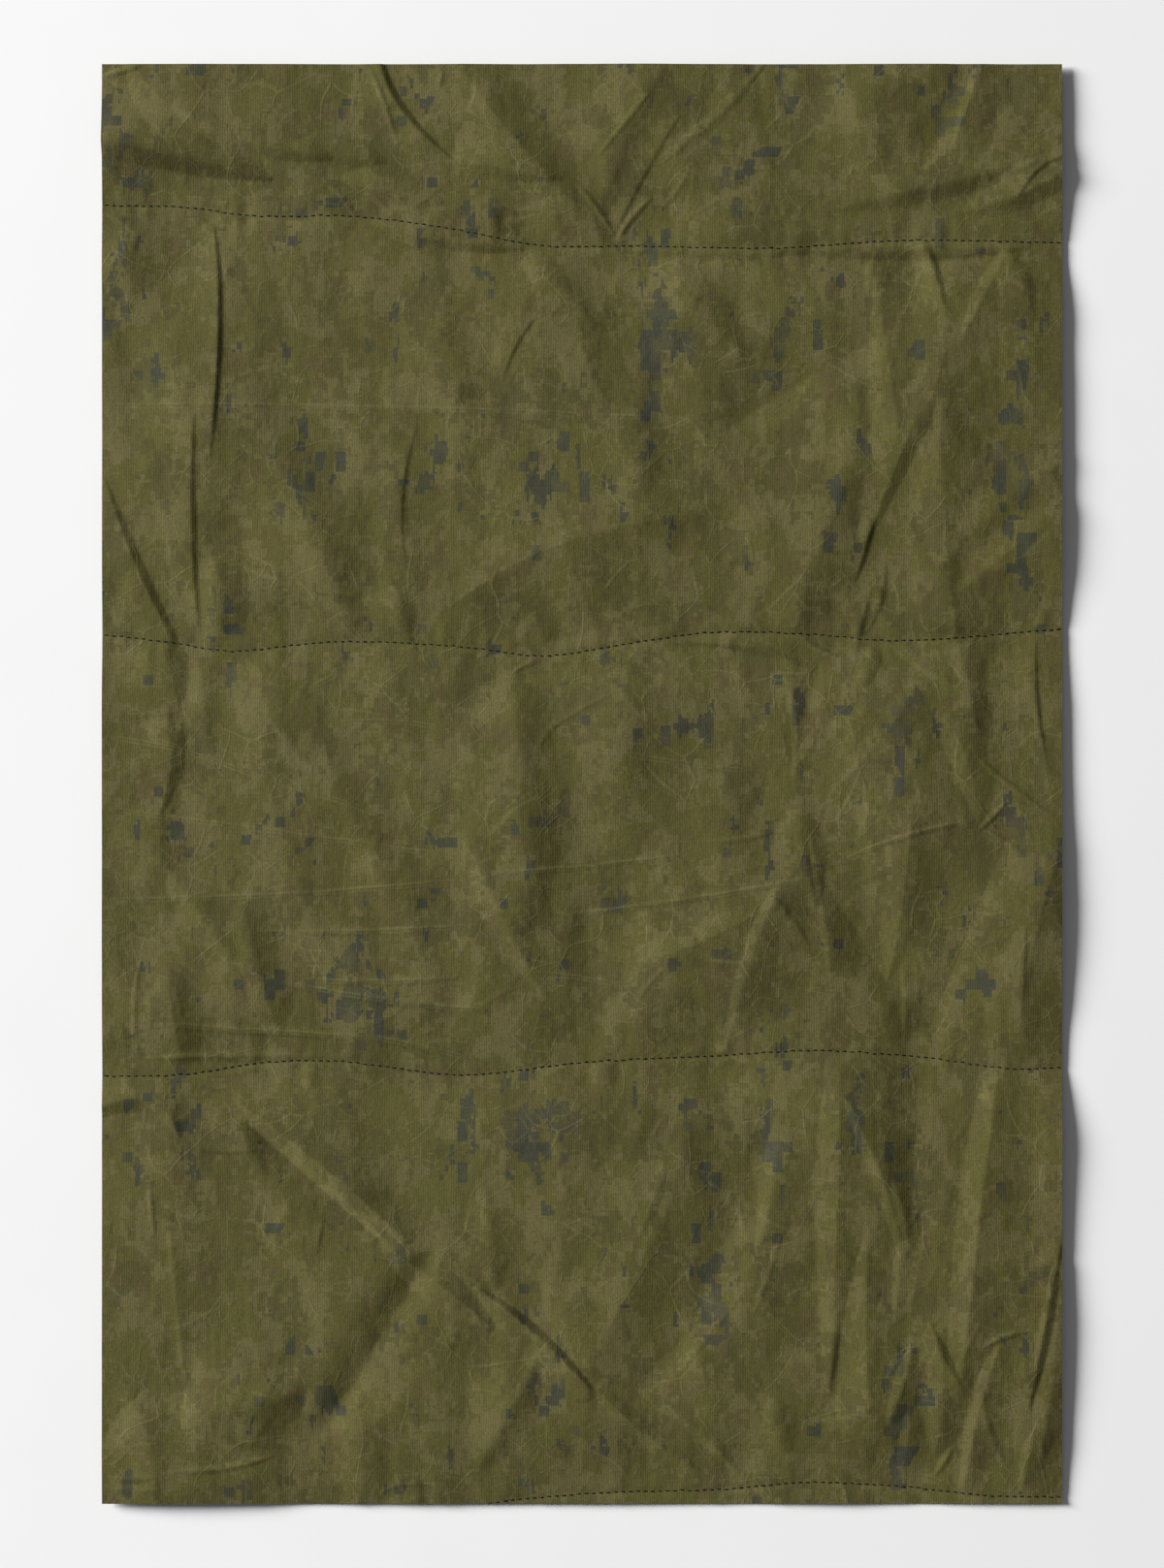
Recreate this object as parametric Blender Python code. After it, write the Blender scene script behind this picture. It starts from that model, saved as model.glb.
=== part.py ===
"""Stitched camouflage cloth: a cut length of one printed sheet, quilted in wavy rows, lying face up.

Metres, +Z up. X runs across the cloth and Y along it. The origin is under the middle of the sheet, on the
surface that the cloth lies on. Places in the tables are millimetres across and down from the cloth's top left
corner, as it is looked at from above.
"""

from collections import namedtuple

import bmesh
import bpy
import numpy as np

# Driving dimensions of the sheet, in metres.
WIDTH = 0.416
LENGTH = 0.624
THICKNESS = 0.001

# The sheet's faces: its points before it is thinned out, and the triangles that each side keeps.
POINT_PITCH = 0.0016
SIDE_TRIANGLES = 4700

# How the cloth stands off the surface, in millimetres.
PUFF = 2.2  # the cloth between two stitched rows
PUFF_REACH = 34.0  # distance from a row at which it has that height
ROW_FLAT = 0.8  # half the strip at each row that the stitches hold down
ROW_HOLD = 8.0  # distance from a row at which a fold has its full height
ROW_SHARE = 0.4  # of a fold's height that carries on through a row
CURVE_STEPS = 12  # straight pieces that stand for a fold's curved crest
FOOT_SHARE = 0.9  # of a fold's height over which the foot of a wide flank runs out softly
FOOT_FLANKS = (5.0, 20.0)  # flanks narrower than the first keep a sharp foot
LEAST_FOOT = 0.02
LIES_FLAT = 0.04  # lower than this, the cloth touches the surface

MM = 0.001

# The cloth's finish.
OLIVE = (0.098, 0.087, 0.035, 1.0)
ROUGHNESS = 0.65

# The stitched rows, each a smooth curve through (across, down). The last one runs off the sheet's cut edge.
STITCHED_ROWS = {
    "first": ((0, 61), (41, 62.3), (59, 65), (112, 66), (147, 70.6), (193, 78.6), (228, 78.6), (292, 79.6),
              (345, 76.4), (416, 77.2)),
    "second": ((0, 247), (31, 250.8), (52, 254.1), (97, 250.4), (157, 252.6), (192, 256.4), (225, 251.4),
               (264, 246.3), (300, 246.6), (348, 249.8), (387, 247.1), (416, 244.7)),
    "third": ((0, 438.7), (35, 437.9), (72, 432.6), (95, 431.9), (160, 438.1), (206, 432.8), (264, 430),
              (311, 427.5), (353, 430.2), (401, 435.6), (416, 434.8)),
    "fourth": ((0, 652), (110, 634), (171, 623.3), (211, 619.6), (271, 617.7), (305, 614.8), (343, 616.4),
               (385, 620.6), (416, 621.2)),
}

# A fold's crest runs from start through middle to end. Height is in millimetres, below zero for a trough. Left
# and right are its flanks' widths, as seen with its start at the top. The sizes are its shares of height at
# both ends, and crest is the radius that rounds its top.
Fold = namedtuple("Fold", "start middle end height left right start_size end_size crest")

SHARP = 0.3
SOFT = 5.0

# Narrow tucks, steep on one side.
TUCKS = (
    Fold((48.3, 72), (50.3, 112), (47, 169), 0.9, 14, 1.8, 0.4, 0.2, SHARP),
    Fold((40, 150), (38.5, 200), (42, 246), 1.25, 14, 2.7, 0.1, 0.2, SHARP),
    Fold((1, 180), (14.5, 217), (29.5, 248), 1.6, 12, 3.9, 0.3, 0.5, SHARP),
    Fold((27, 254), (31, 268), (32, 283), 1.2, 22, 8, 1.0, 0.6, SHARP),
    Fold((31.5, 284), (29, 302), (24.5, 325), 1.0, 18, 4.2, 0.3, 0.2, SHARP),
    Fold((120.5, 0), (131, 22), (154, 43), 1.3, 15, 2.6, 0.7, 0.1, SHARP),
    Fold((352, 154), (341.5, 180), (331.5, 206), 1.2, 12, 4.6, 1.5, 0.2, SHARP),
    Fold((333, 203), (329.5, 214), (326, 225), 0.7, 10, 1.6, 0.6, 0.0, SHARP),
    Fold((339, 216), (338, 229), (333, 244), 0.8, 10, 1.8, 0.2, 0.3, SHARP),
    Fold((334, 250), (332, 260), (329, 271), 1.0, 8, 4.5, 0.4, 0.1, 1.0),
    Fold((415, 512), (408, 548), (401.5, 582), 1.5, 32, 3.4, 0.2, 0.2, SHARP),
    Fold((416, 39.5), (404.5, 46), (396.5, 59), 0.7, 10, 1.6, 0.8, 0.1, SHARP),
    Fold((357.5, 81), (361.5, 94), (365.5, 108), 0.9, 12, 2.4, 0.9, 0.0, SHARP),
    Fold((394, 82), (399, 96), (403.5, 110), 0.6, 10, 1.8, 0.7, 0.0, SHARP),
    Fold((359.5, 547), (364, 560), (372, 573), 1.0, 10, 3.2, 0.2, 0.2, SHARP),
    Fold((405, 249), (404.5, 274), (410, 306), 0.6, 12, 1.6, 0.2, 0.2, SHARP),
    Fold((291.5, 362), (299, 371.5), (308, 385), 0.8, 10, 2.0, 0.5, 0.1, SHARP),
    Fold((302, 261.5), (262, 253), (222, 251.5), 0.7, 14, 1.8, 0.2, 0.1, SHARP),
    Fold((371, 270), (356, 261.5), (340, 250), 0.6, 8, 1.7, 0.2, 0.2, SHARP),
)

# Flat facets between knife-sharp creases: one flank is narrow and the other runs out far.
FACETS = (
    Fold((335, 91), (340, 124), (345, 158), 1.6, 7.5, 34, 0.0, 1.6, SHARP),
    Fold((360, 84), (365.5, 118), (353, 160), 1.8, 16, 26, 0.6, 0.4, SHARP),
    Fold((363.5, 150), (363.5, 182), (366.5, 214), 1.9, 14, 22, 0.4, 0.4, SHARP),
    Fold((367, 224), (371, 250), (379, 285), 1.6, 22, 15, 0.2, 0.5, SHARP),
    Fold((392, 82), (382.5, 100), (372, 120), 0.9, 4.5, 20, 0.5, 0.1, SHARP),
    Fold((350, 330), (347, 362), (340.5, 398), 1.6, 13, 15, 1.8, 0.0, SHARP),
    Fold((414, 344), (404, 378), (397, 426), 1.7, 28, 18, 0.6, 0.7, SHARP),
    Fold((320, 438), (318.5, 505), (315, 575), 1.6, 9, 20, 0.8, 0.15, SHARP),
    Fold((332.3, 503), (331, 540), (332, 582), 1.6, 8.8, 18, 0.0, 1.6, SHARP),
    Fold((322, 448), (337, 480), (347.5, 515), 1.0, 4.5, 14, 0.3, 0.5, SHARP),
    Fold((343, 485), (347, 497), (350, 514), 0.6, 3, 9, 0.2, 0.2, SHARP),
    Fold((388, 440), (381, 495), (372.5, 570), 1.8, 10, 20, 0.6, 0.6, SHARP),
    Fold((351, 555), (347.5, 571), (341.5, 586), 0.9, 4.5, 9, 0.2, 0.4, SHARP),
    Fold((364, 562), (364.5, 580), (361, 603), 1.2, 10, 13, 0.6, 0.1, SHARP),
    Fold((389, 556), (380.5, 582), (374, 616), 1.1, 5, 13, 0.3, 0.4, SHARP),
    Fold((416, 522), (413, 560), (407, 602), 1.2, 8, 10, 0.4, 0.2, 1.0),
    Fold((404, 592), (401.5, 604), (398.5, 617), 0.7, 3.5, 8, 0.3, 0.3, SHARP),
    Fold((350, 584), (349, 598), (347, 612), 0.7, 3.5, 10, 0.3, 0.3, 0.6),
    Fold((291, 578), (292, 589), (296, 602), 0.7, 5, 8, 0.1, 0.3, 1.5),
    Fold((294, 464), (290, 490), (280, 516), 1.2, 5.5, 18, 0.5, 0.1, 1.0),
    Fold((248, 473), (236, 508), (211, 569), 2.3, 26, 26, 0.4, 0.3, SHARP),
    Fold((291.5, 361), (281.5, 388), (271, 425), 0.9, 4, 20, 0.6, 0.3, SHARP),
    Fold((236, 390), (262, 379), (291, 364.5), 1.8, 22, 16, 0.2, 0.8, SHARP),
    Fold((352, 268), (341, 288), (316, 316), 1.1, 6, 15, 0.3, 0.2, SHARP),
    Fold((361, 280), (373, 297), (380, 328), 1.1, 7, 13, 0.2, 0.2, SHARP),
    Fold((157, 3), (182, 36), (222, 76), 1.6, 14, 18, 0.4, 0.3, 0.6),
    Fold((252, 196), (196, 209), (150, 236), 2.6, 34, 14, 0.3, 0.0, SHARP),
    Fold((337, 117), (300, 140), (258, 168), 1.2, 12, 22, 0.3, 0.2, 0.6),
    Fold((416, 172), (390, 192), (364, 216), 1.1, 8, 10, 0.6, 0.2, 2.0),
    Fold((416, 193), (394, 211), (370, 231), 1.1, 8, 10, 0.6, 0.1, 2.0),
    Fold((381, 1), (375, 18), (368, 38), 0.6, 2.8, 12, 0.7, 0.1, SHARP),
    Fold((12, 583), (20, 596), (22.5, 618), 2.0, 12, 24, 0.2, 0.8, SHARP),
    Fold((30.5, 385), (30.5, 408), (30.5, 431), 1.9, 20, 36, 0.2, 0.8, SHARP),
    Fold((60, 450.5), (134, 505), (213, 574), 1.3, 4.5, 12, 0.3, 0.6, SHARP),
    Fold((158, 335), (172, 368), (196, 409), 1.2, 7, 15, 0.2, 0.1, 2.5),
    Fold((215, 575), (238, 596), (259, 610), 0.7, 4, 5, 0.6, 0.1, SHARP),
    Fold((232, 575), (254, 588), (277, 613), 0.7, 4, 5, 0.2, 0.1, SHARP),
    Fold((0, 451.5), (22, 449.5), (33, 465), 1.8, 5, 14, 0.9, 0.1, 0.6),
)

# Creased troughs.
TROUGHS = (
    Fold((391, 339), (374.5, 378), (354, 430), -1.8, 22, 28, 0.2, 0.6, SHARP),
    Fold((308, 346), (324, 371), (340, 398), -1.1, 12, 20, 0.1, 0.6, SHARP),
    Fold((354, 431), (352, 480), (348, 553), -1.3, 14, 28, 0.6, 0.4, SHARP),
    Fold((75, 466), (128, 508), (210, 581), -0.9, 10, 3, 0.2, 0.6, SHARP),
    Fold((389, 95), (388.5, 128), (390, 160), -0.8, 14, 14, 0.3, 0.2, SHARP),
    Fold((372, 2), (366, 20), (356, 43), -1.2, 16, 8, 0.6, 0.2, 2.0),
    Fold((310.5, 261), (305, 283), (300, 303), -0.8, 8, 6, 0.2, 0.2, 0.6),
    Fold((237, 84), (268, 84), (298, 83.5), -1.1, 12, 4.5, 0.4, 0.3, SHARP),
    Fold((303, 83), (350, 84.5), (397, 84.5), -2.0, 14, 6.5, 0.3, 0.4, SHARP),
    Fold((118, 72), (150, 79), (186, 83), -1.7, 12, 6.5, 0.2, 0.3, 0.8),
    Fold((138, 519), (117, 549), (97, 592), -2.6, 15, 9, 0.3, 0.4, 2.5),
    Fold((151, 546), (130, 566), (110, 590), -0.9, 9, 8, 0.2, 0.2, 2.0),
    Fold((286, 468), (264, 528), (232, 577), -1.8, 24, 12, 0.4, 0.3, SOFT),
    Fold((209, 368), (211.5, 398), (212, 426), -1.7, 10, 18, 0.3, 0.3, 2.0),
)

# Broad soft swells.
SWELLS = (
    Fold((0, 32), (40, 40), (80, 51), 3.0, 6.5, 15, 1.0, 0.1, 1.0),
    Fold((14, 0), (46, 26), (120, 43), 2.4, 6.5, 14, 0.2, 0.1, 1.0),
    Fold((152, 42.5), (172, 44.5), (196, 49.5), 1.9, 5, 22, 0.2, 0.2, 0.8),
    Fold((298, 64), (348, 53), (407, 43), 2.8, 8, 24, 0.1, 0.4, 2.0),
    Fold((370, 66), (393, 58), (416, 47), 1.8, 5.5, 9, 0.2, 0.8, 1.0),
    Fold((176, 262), (182, 310), (186, 361), 2.8, 28, 12, 0.3, 0.2, SOFT),
    Fold((226, 262), (228, 300), (226, 343), 1.3, 15, 15, 0.3, 0.1, SOFT),
    Fold((236, 372), (238, 398), (238, 426), 1.2, 16, 16, 0.2, 0.3, SOFT),
    Fold((189, 560), (179, 583), (168, 606), 1.9, 16, 10, 0.2, 0.2, SOFT),
    Fold((112, 580), (112, 600), (110, 624), 1.6, 13, 9, 0.1, 0.6, SOFT),
    Fold((248, 83), (260, 107), (284, 130), 1.9, 14, 10, 0.4, 0.1, SOFT),
    Fold((58, 138), (82, 182), (106, 240), 1.8, 16, 13, 0.1, 0.4, SOFT),
    Fold((64, 256), (79, 292), (99, 337), 1.4, 14, 13, 0.4, 0.1, SOFT),
    Fold((328, 148), (318, 190), (300, 242), 1.8, 20, 13, 0.1, 0.4, 3.0),
    Fold((24, 586), (56, 583), (92, 578), 1.6, 12, 15, 0.2, 0.1, SOFT),
    Fold((203, 100), (214, 142), (238, 190), 1.1, 18, 16, 0.3, 0.1, SOFT),
    Fold((120, 262), (128, 300), (146, 330), 1.1, 14, 12, 0.4, 0.1, SOFT),
    Fold((44, 380), (66, 402), (82, 428), 1.2, 13, 11, 0.1, 0.4, SOFT),
    Fold((196, 440), (202, 480), (196, 530), 1.1, 15, 15, 0.4, 0.1, SOFT),
    Fold((124, 228), (130, 237), (132, 247), 1.1, 12, 4.5, 0.2, 0.4, 1.5),
    Fold((240, 4), (226, 30), (214, 62), 1.4, 16, 10, 0.5, 0.2, 3.0),
)


def clear_objects():
    """Empty the scene."""
    for old in list(bpy.data.objects):
        bpy.data.objects.remove(old, do_unlink=True)


def run_out(height, foot):
    """The part of a height above zero, with a rounded foot."""
    rounded = (height + foot) ** 2 / (4.0 * foot)
    return np.where(height > foot, height, np.where(height < -foot, 0.0, rounded))


def rise(distance, first, last):
    """A smooth step from 0 at the first distance to 1 at the last one."""
    share = np.clip((distance - first) / (last - first), 0.0, 1.0)
    return share * share * (3.0 - 2.0 * share)


def row_down(points, across):
    """How far down a stitched row lies at each place across: a cubic curve through the row's points."""
    places, downs = np.array(points, float).T
    slopes = np.gradient(downs, places)
    i = np.clip(np.searchsorted(places, across) - 1, 0, len(places) - 2)
    span = places[i + 1] - places[i]
    t = (across - places[i]) / span
    ends = downs[i] * (1 + 2 * t) * (1 - t) ** 2 + downs[i + 1] * t * t * (3 - 2 * t)
    bends = slopes[i] * t * (1 - t) ** 2 - slopes[i + 1] * t * t * (1 - t)
    return ends + bends * span


def through(start, middle, end, t):
    """The curve of second degree that passes start at t = 0, middle at t = 0.5 and end at t = 1."""
    return start * (2 * t - 1) * (t - 1) + middle * 4 * t * (1 - t) + end * t * (2 * t - 1)


def fold_height(fold, across, down):
    """Height of one fold, without its sign, at each place: its flanks fall away from a rounded crest."""
    steps = np.linspace(0.0, 1.0, CURVE_STEPS + 1)[:, None]
    line = through(np.array(fold.start), np.array(fold.middle), np.array(fold.end), steps)
    nearest = np.full(across.shape, np.inf)
    side = np.zeros(across.shape)  # 1 right of the line, -1 left of it and in between past its ends
    place = np.zeros(across.shape)
    for i, (a, b) in enumerate(zip(line[:-1], line[1:])):
        run = b - a
        t = np.clip(((across - a[0]) * run[0] + (down - a[1]) * run[1]) / (run @ run), 0.0, 1.0)
        off_x = across - a[0] - t * run[0]
        off_y = down - a[1] - t * run[1]
        distance = np.hypot(off_x, off_y)
        closer = distance < nearest
        nearest = np.where(closer, distance, nearest)
        aside = (off_x * run[1] - off_y * run[0]) / np.maximum(distance * np.hypot(*run), 1e-9)
        side = np.where(closer, aside, side)
        place = np.where(closer, (i + t) / CURVE_STEPS, place)
    top = abs(fold.height) * np.maximum(through(fold.start_size, 1.0, fold.end_size, place), 0.0)
    flank = fold.left + (fold.right - fold.left) * (0.5 + 0.5 * side)
    slope = abs(fold.height) / flank
    fall = np.hypot(nearest, fold.crest) - fold.crest
    foot = np.maximum(top * FOOT_SHARE * rise(flank, *FOOT_FLANKS), LEAST_FOOT)
    return run_out(top - slope * fall, foot)


def cloth_height(across, down):
    """Height of the cloth's underside above the surface, in millimetres, at each place."""
    to_row = np.min([np.abs(down - row_down(points, across)) for points in STITCHED_ROWS.values()], axis=0)
    raised = sum(fold_height(fold, across, down) for fold in TUCKS + FACETS + SWELLS)
    pressed = sum(fold_height(fold, across, down) for fold in TROUGHS)
    held = ROW_SHARE + (1.0 - ROW_SHARE) * rise(to_row, ROW_FLAT, ROW_HOLD)
    height = PUFF * rise(to_row, ROW_FLAT, PUFF_REACH) + (raised - pressed) * held
    return np.where(height < LIES_FLAT, 0.0, height)


def folded_surface():
    """One open surface: a grid of points over the whole sheet, lifted into the folds."""
    bm = bmesh.new()
    columns = round(WIDTH / POINT_PITCH)
    rows = round(LENGTH / POINT_PITCH)
    bmesh.ops.create_grid(bm, x_segments=columns, y_segments=rows, size=0.5)
    bmesh.ops.scale(bm, vec=(WIDTH, LENGTH, 1.0), verts=bm.verts)
    places = np.array([vert.co[:2] for vert in bm.verts])
    across = (WIDTH / 2 + places[:, 0]) / MM
    down = (LENGTH / 2 - places[:, 1]) / MM
    for vert, height in zip(bm.verts, cloth_height(across, down)):
        vert.co.z = height * MM
    mesh = bpy.data.meshes.new("folded_surface")
    bm.to_mesh(mesh)
    bm.free()
    return mesh


def thinned(mesh):
    """The surface with fewer, larger triangles where it is smooth."""
    helper = bpy.data.objects.new("folded_surface", mesh)
    bpy.context.scene.collection.objects.link(helper)
    decimate = helper.modifiers.new("thin_out", "DECIMATE")
    decimate.ratio = SIDE_TRIANGLES / (2 * len(mesh.polygons))
    decimate.use_collapse_triangulate = True
    graph = bpy.context.evaluated_depsgraph_get()
    result = bpy.data.meshes.new_from_object(helper.evaluated_get(graph))
    bpy.data.objects.remove(helper, do_unlink=True)
    bpy.data.meshes.remove(mesh)
    return result


def true_to_outline(bm):
    """Put the rim back on the straight cut edges, and what lies on the surface at its exact height."""
    for vert in bm.verts:
        if vert.is_boundary:
            to_side = WIDTH / 2 - abs(vert.co.x)
            to_end = LENGTH / 2 - abs(vert.co.y)
            if to_side < POINT_PITCH / 2:
                vert.co.x = np.copysign(WIDTH / 2, vert.co.x)
            if to_end < POINT_PITCH / 2:
                vert.co.y = np.copysign(LENGTH / 2, vert.co.y)
        if vert.co.z < LIES_FLAT * MM:
            vert.co.z = 0.0


def sheet_mesh():
    """The closed sheet: the folded surface as its underside, and the same surface one thickness higher."""
    mesh = thinned(folded_surface())
    bm = bmesh.new()
    bm.from_mesh(mesh)
    true_to_outline(bm)
    upper = bmesh.ops.extrude_face_region(bm, geom=list(bm.faces))["geom"]
    lifted = [item for item in upper if isinstance(item, bmesh.types.BMVert)]
    bmesh.ops.translate(bm, vec=(0.0, 0.0, THICKNESS), verts=lifted)
    bmesh.ops.recalc_face_normals(bm, faces=bm.faces)
    bm.to_mesh(mesh)
    bm.free()
    mesh.name = "cloth"
    mesh.shade_smooth()
    return mesh


def cloth_material():
    """Matt olive cloth."""
    material = bpy.data.materials.new("cloth")
    material.use_nodes = True
    shader = material.node_tree.nodes["Principled BSDF"]
    shader.inputs["Base Color"].default_value = OLIVE
    shader.inputs["Roughness"].default_value = ROUGHNESS
    shader.inputs["Metallic"].default_value = 0.0
    return material


def build():
    """The cloth, in a collection of its own."""
    clear_objects()
    collection = bpy.data.collections.new("stitched_camouflage_cloth")
    bpy.context.scene.collection.children.link(collection)
    cloth = bpy.data.objects.new("cloth", sheet_mesh())
    cloth.data.materials.append(cloth_material())
    collection.objects.link(cloth)


build()
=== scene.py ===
"""Looks of the stitched camouflage cloth: a creased, printed, ribbed sheet with four rows of quilting stitches.

Places in the tables are millimetres across and down from the cloth's top left corner, as it is looked at from above.
"""

import math
from collections import namedtuple

import bmesh
import bpy
import numpy as np
from mathutils import Matrix, Vector


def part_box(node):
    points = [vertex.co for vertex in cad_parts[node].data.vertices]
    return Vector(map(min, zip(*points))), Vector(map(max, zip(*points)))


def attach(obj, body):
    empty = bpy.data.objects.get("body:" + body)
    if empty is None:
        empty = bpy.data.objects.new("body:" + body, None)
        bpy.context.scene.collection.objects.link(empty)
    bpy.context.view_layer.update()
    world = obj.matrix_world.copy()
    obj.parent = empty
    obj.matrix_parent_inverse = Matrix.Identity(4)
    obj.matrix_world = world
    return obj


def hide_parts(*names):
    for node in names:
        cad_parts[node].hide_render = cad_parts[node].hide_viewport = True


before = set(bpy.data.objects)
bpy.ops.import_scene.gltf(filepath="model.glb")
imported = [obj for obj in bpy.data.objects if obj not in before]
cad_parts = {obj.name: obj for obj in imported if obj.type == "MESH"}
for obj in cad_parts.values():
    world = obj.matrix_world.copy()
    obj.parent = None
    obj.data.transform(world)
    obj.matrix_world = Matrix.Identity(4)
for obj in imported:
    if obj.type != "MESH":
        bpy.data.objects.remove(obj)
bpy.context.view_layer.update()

CLOTH_LOW, CLOTH_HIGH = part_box("cloth")

# ----------------------------------------
# Sizes
# ----------------------------------------

MM = 0.001
WIDTH = (CLOTH_HIGH.x - CLOTH_LOW.x) / MM  # of the sheet, in millimetres
LENGTH = (CLOTH_HIGH.y - CLOTH_LOW.y) / MM

CLOTH_THICKNESS = 0.45
POINT_PITCH = 0.8  # of the grid that carries the folds
SIDE_TRIANGLES = 97000  # kept in each side of the sheet
RIM_REACH = 1.0  # how far thinning may draw the rim's points in from the cut edges
RIM_FACING = 0.5  # a face that looks up or down by less than this belongs to the cut edge
NORMAL_INSET = 0.7  # how far inside a triangle its corners' directions are read

PUFF = 1.8  # how far the cloth between two rows stands off the surface
PUFF_REACH = 34.0  # distance from a row at which it stands off fully
LIFT = 1.2  # of the whole sheet, so that only its deepest troughs touch the surface
TOUCH_FOOT = 0.3  # height over which the sheet curves down to where it touches
ROW_FLAT = 0.8  # half the width of the strip that the stitches hold down
ROW_HOLD = 8.0  # distance from a row at which the folds have their full height
ROW_SHARE = 0.6  # of a fold's or crease's height that carries on through a stitched row
ROW_GROOVE = 0.24  # depth of the groove that the stitches pull
ROW_GROOVE_WIDTH = 1.6
CURVE_STEPS = 12  # straight parts that a fold's crest line is made of
FOOT_SHARE = 0.9  # of a fold's height over which the foot of a wide flank runs out softly
FOOT_FLANKS = (9.0, 26.0)  # flanks narrower than the first keep a sharp foot
SOFT_FOOT_CREST = 2.5  # a fold whose crest is at least as round as this has soft feet too
LEAST_FOOT = 0.02
CREASE_ENDS = 0.3  # share of its height that a fine crease has at its ends

PUCKER_HEIGHT = 0.09
PUCKER_WAVE = 9.0  # from one pucker to the next along a row
PUCKER_STRETCH = 4.0  # how many times longer than wide a pucker is
PUCKER_REACH = 11.0  # how far it runs out from the row
PUCKER_START = 2.5  # how far from the row it has its full height
PUCKER_PATCH = 45.0  # size of the areas that are puckered more, or less

STITCH_PITCH = 3.2
STITCH_LENGTH = 2.7
THREAD_RADIUS = 0.3
STITCH_DIP = 0.5  # how far its ends turn down
STITCH_STAND = 0.12  # how far its middle stands off the cloth
STITCH_LEAN = 3.0  # degrees by which it may lie askew
STITCH_WANDER = 0.12
STITCH_LENGTHS = (0.86, 1.06)  # range of its length and width, as shares of the usual
STITCH_WIDTHS = (0.85, 1.15)
STITCH_FEEL = 1.0  # how far to each side of its middle a stitch follows the cloth's slope
STITCH_SIDES = 8

PRINT_SQUARE = 2.2
RIB_PITCH = 1.0
THREAD_PITCH = 0.62
TWIST_PITCH = 0.35
PRESSED_GAP = 0.8  # from the middle of a pressed crease to the worn hairlines on both its sides
PRESSED_WIDTH = 0.7  # from a hairline's middle to where it has faded
PRESSED_FADE = 14.0  # length over which they fade out at their ends

# The photo's frame, and a camera that looks straight down from far away.
PHOTO_HEIGHT = 1617
PHOTO_SCALE = 2.378  # pixels to the millimetre
LENS = 120.0
SENSOR = 36.0
CLIP = (0.05, 50.0)

FLOOR_SIZE = 8.0  # in metres
FLOOR_GAP = 0.0002
FLOOR_SHADES = (0.90, 0.92)

KEY_AZIMUTH = 162.0  # the side that the key light shines from, turned from +X towards +Y
KEY_ELEVATION = 22.0
KEY_DISTANCE = 9.0  # in metres, as its size is
KEY_SIZE = 4.0
KEY_POWER = 1840.0
FILL_STRENGTH = 0.13

# ----------------------------------------
# Stitched rows and folds
# ----------------------------------------

STITCHED_ROWS = {
    "first": ((0, 61), (41, 62.3), (59, 65), (112, 66), (147, 70.6), (193, 78.6), (228, 78.6), (292, 79.6),
              (345, 76.4), (416, 77.2)),
    "second": ((0, 247), (31, 250.8), (52, 254.1), (97, 250.4), (157, 252.6), (192, 256.4), (225, 251.4),
               (264, 246.3), (300, 246.6), (348, 249.8), (387, 247.1), (416, 244.7)),
    "third": ((0, 438.7), (35, 437.9), (72, 432.6), (95, 431.9), (160, 438.1), (206, 432.8), (264, 430),
              (311, 427.5), (353, 430.2), (401, 435.6), (416, 434.8)),
    "fourth": ((0, 652), (110, 634), (171, 623.3), (211, 619.6), (271, 617.7), (305, 614.8), (343, 616.4),
               (385, 620.6), (416, 621.2)),
}

# A fold's crest runs from start through middle to end. Height is in millimetres, below zero for a trough. Left and
# right are its flanks' widths, as seen with its start at the top. The sizes are its shares of height at both ends, and
# crest is the radius that rounds its top.
SHARP = 0.3  # the usual crest
SOFT = 5.0
Fold = namedtuple("Fold", "start middle end height left right start_size end_size crest", defaults=(SHARP,))


def named(kind, table):
    """A table's rows with their columns named."""
    return tuple(kind(*row) for row in table)


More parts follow.
